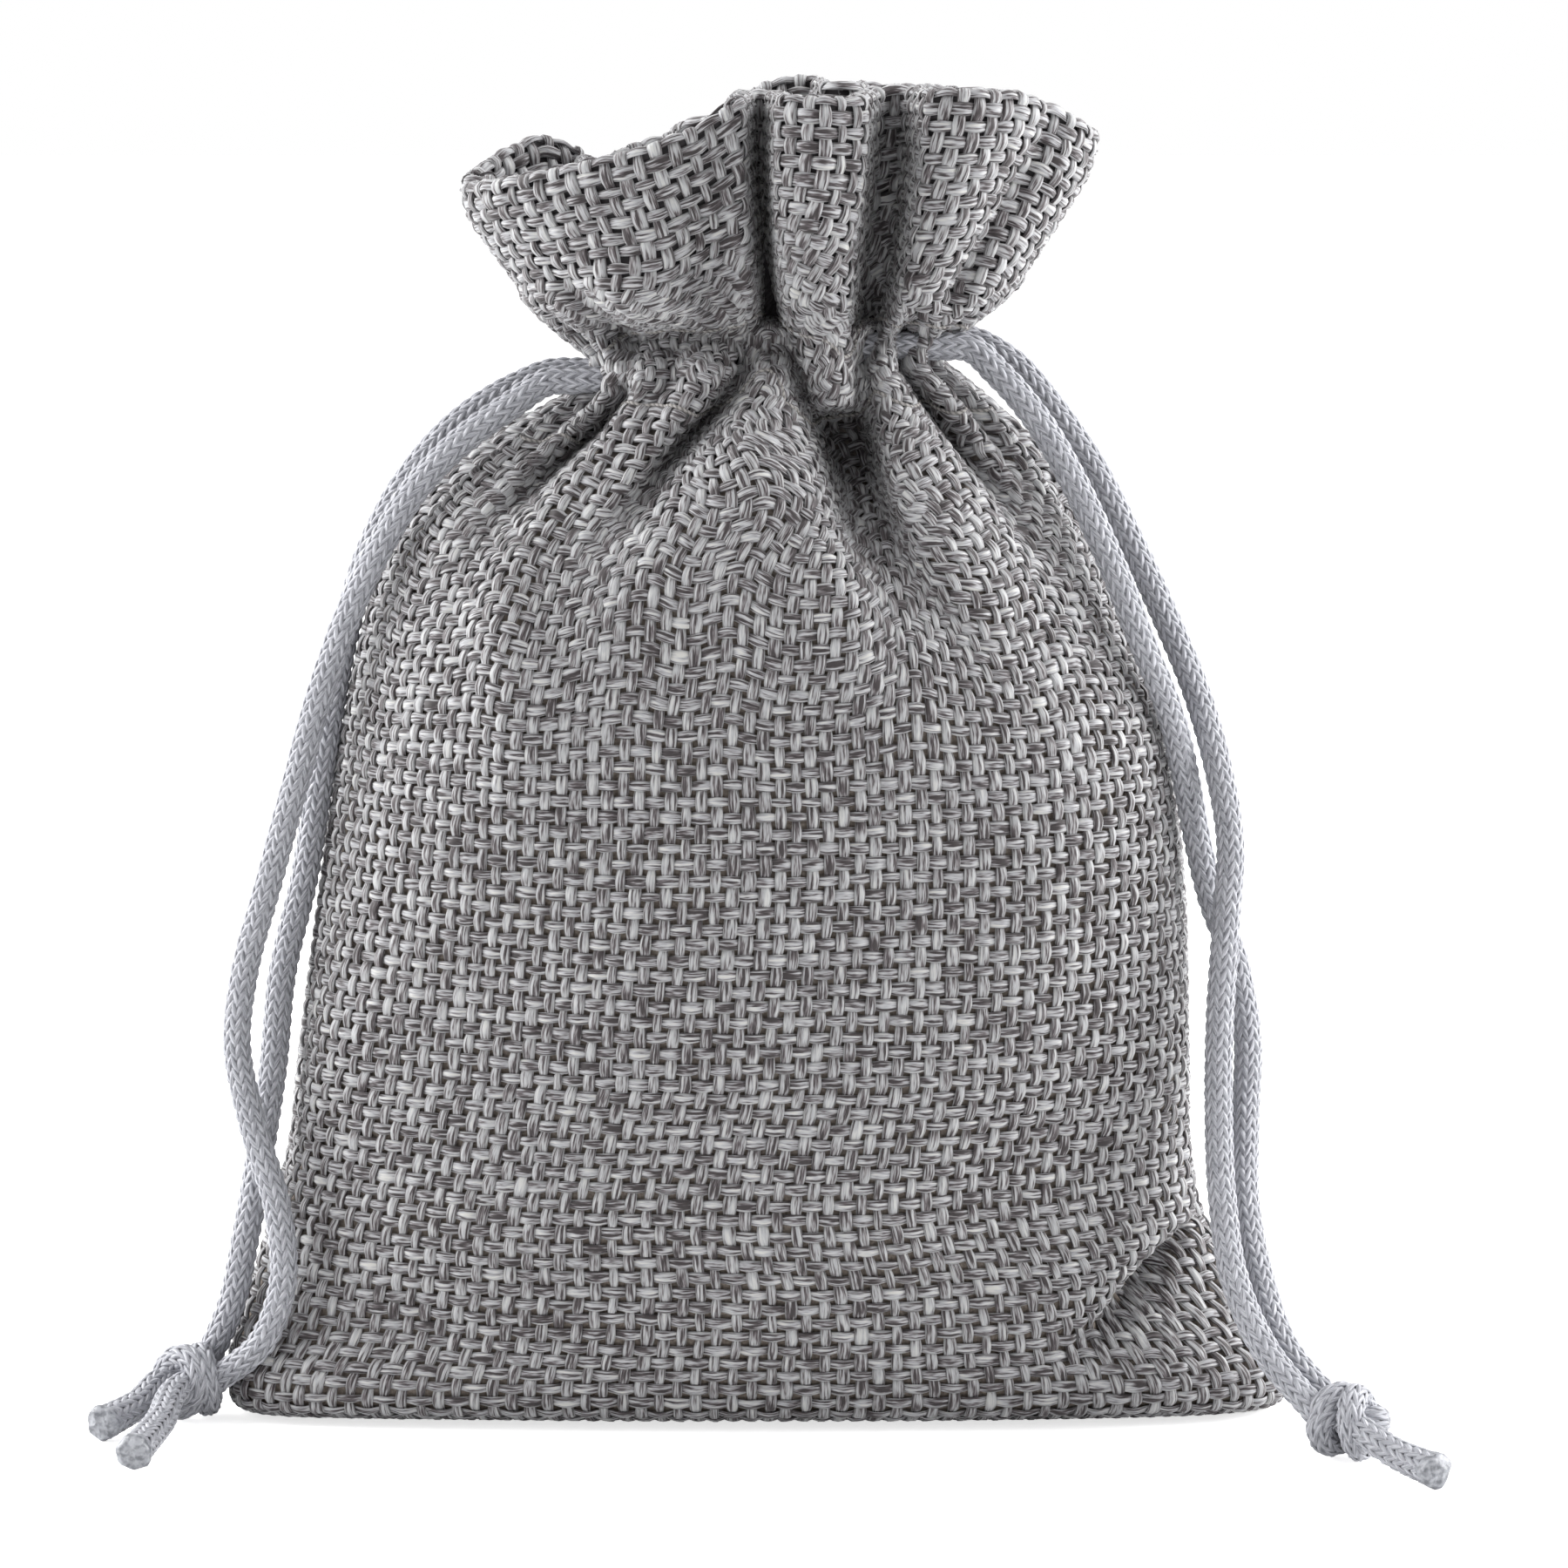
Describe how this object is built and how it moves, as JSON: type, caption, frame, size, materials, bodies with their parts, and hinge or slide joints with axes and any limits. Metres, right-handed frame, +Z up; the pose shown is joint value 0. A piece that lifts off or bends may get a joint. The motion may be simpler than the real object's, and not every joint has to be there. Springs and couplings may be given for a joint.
{
  "type": "drawstring pouch",
  "caption": "Small filled cloth gift pouch, gathered at the neck by braided drawstrings that slide in a sewn casing, with a ruffled heading above and knotted cord ends at the sides.",
  "frame": {"origin": "centre of the bottom of the cloth pouch, on the surface it stands on", "axes": "+Z up through the neck, +X to the right seen from the front, -Y towards the viewer"},
  "size_m": [0.1253, 0.0638, 0.1254],
  "materials": {
    "cloth": "coarse plain weave of slubby grey melange yarn",
    "thread": "matte grey polyester sewing thread",
    "cord": "pale grey tubular braid"
  },
  "bodies": {
    "pouch": {"bottom_fold": "cloth", "front_panel": "cloth", "back_panel": "cloth", "left_side_seam": "cloth", "right_side_seam": "cloth", "front_casing": "cloth", "back_casing": "cloth", "left_seam_thread": "thread", "right_seam_thread": "thread", "front_lower_thread": "thread", "front_upper_thread": "thread", "back_lower_thread": "thread", "back_upper_thread": "thread"},
    "front_heading": {"front_heading": "cloth"},
    "back_heading": {"back_heading": "cloth"},
    "left_loop": {"left_cord_loop": "cord"},
    "left_cord": {"left_front_strand": "cord", "left_back_strand": "cord", "left_knot": "cord", "left_short_tail": "cord", "left_long_tail": "cord"},
    "right_loop": {"right_cord_loop": "cord"},
    "right_cord": {"right_front_strand": "cord", "right_back_strand": "cord", "right_knot": "cord", "right_front_tail": "cord", "right_back_tail": "cord"}
  },
  "joints": [
    {"name": "left_pull", "type": "slide", "parent": "pouch", "child": "left_loop", "axis": [-1, 0, 0], "range_m": [0, 0.006]},
    {"name": "left_swing", "type": "hinge", "parent": "left_loop", "child": "left_cord", "pos_m": [-0.018, 0, 0.0984], "axis": [0, 1, 0], "range_deg": [0, 45]},
    {"name": "right_pull", "type": "slide", "parent": "pouch", "child": "right_loop", "axis": [1, 0, 0], "range_m": [0, 0.006]},
    {"name": "right_swing", "type": "hinge", "parent": "right_loop", "child": "right_cord", "pos_m": [0.018, 0, 0.1016], "axis": [0, -1, 0], "range_deg": [0, 45]},
    {"name": "front_open", "type": "hinge", "parent": "pouch", "child": "front_heading", "pos_m": [0, -0.01175, 0.1045], "axis": [1, 0, 0], "range_deg": [0, 25]},
    {"name": "back_open", "type": "hinge", "parent": "pouch", "child": "back_heading", "pos_m": [0, 0.01175, 0.1045], "axis": [-1, 0, 0], "range_deg": [0, 25]}
  ]
}
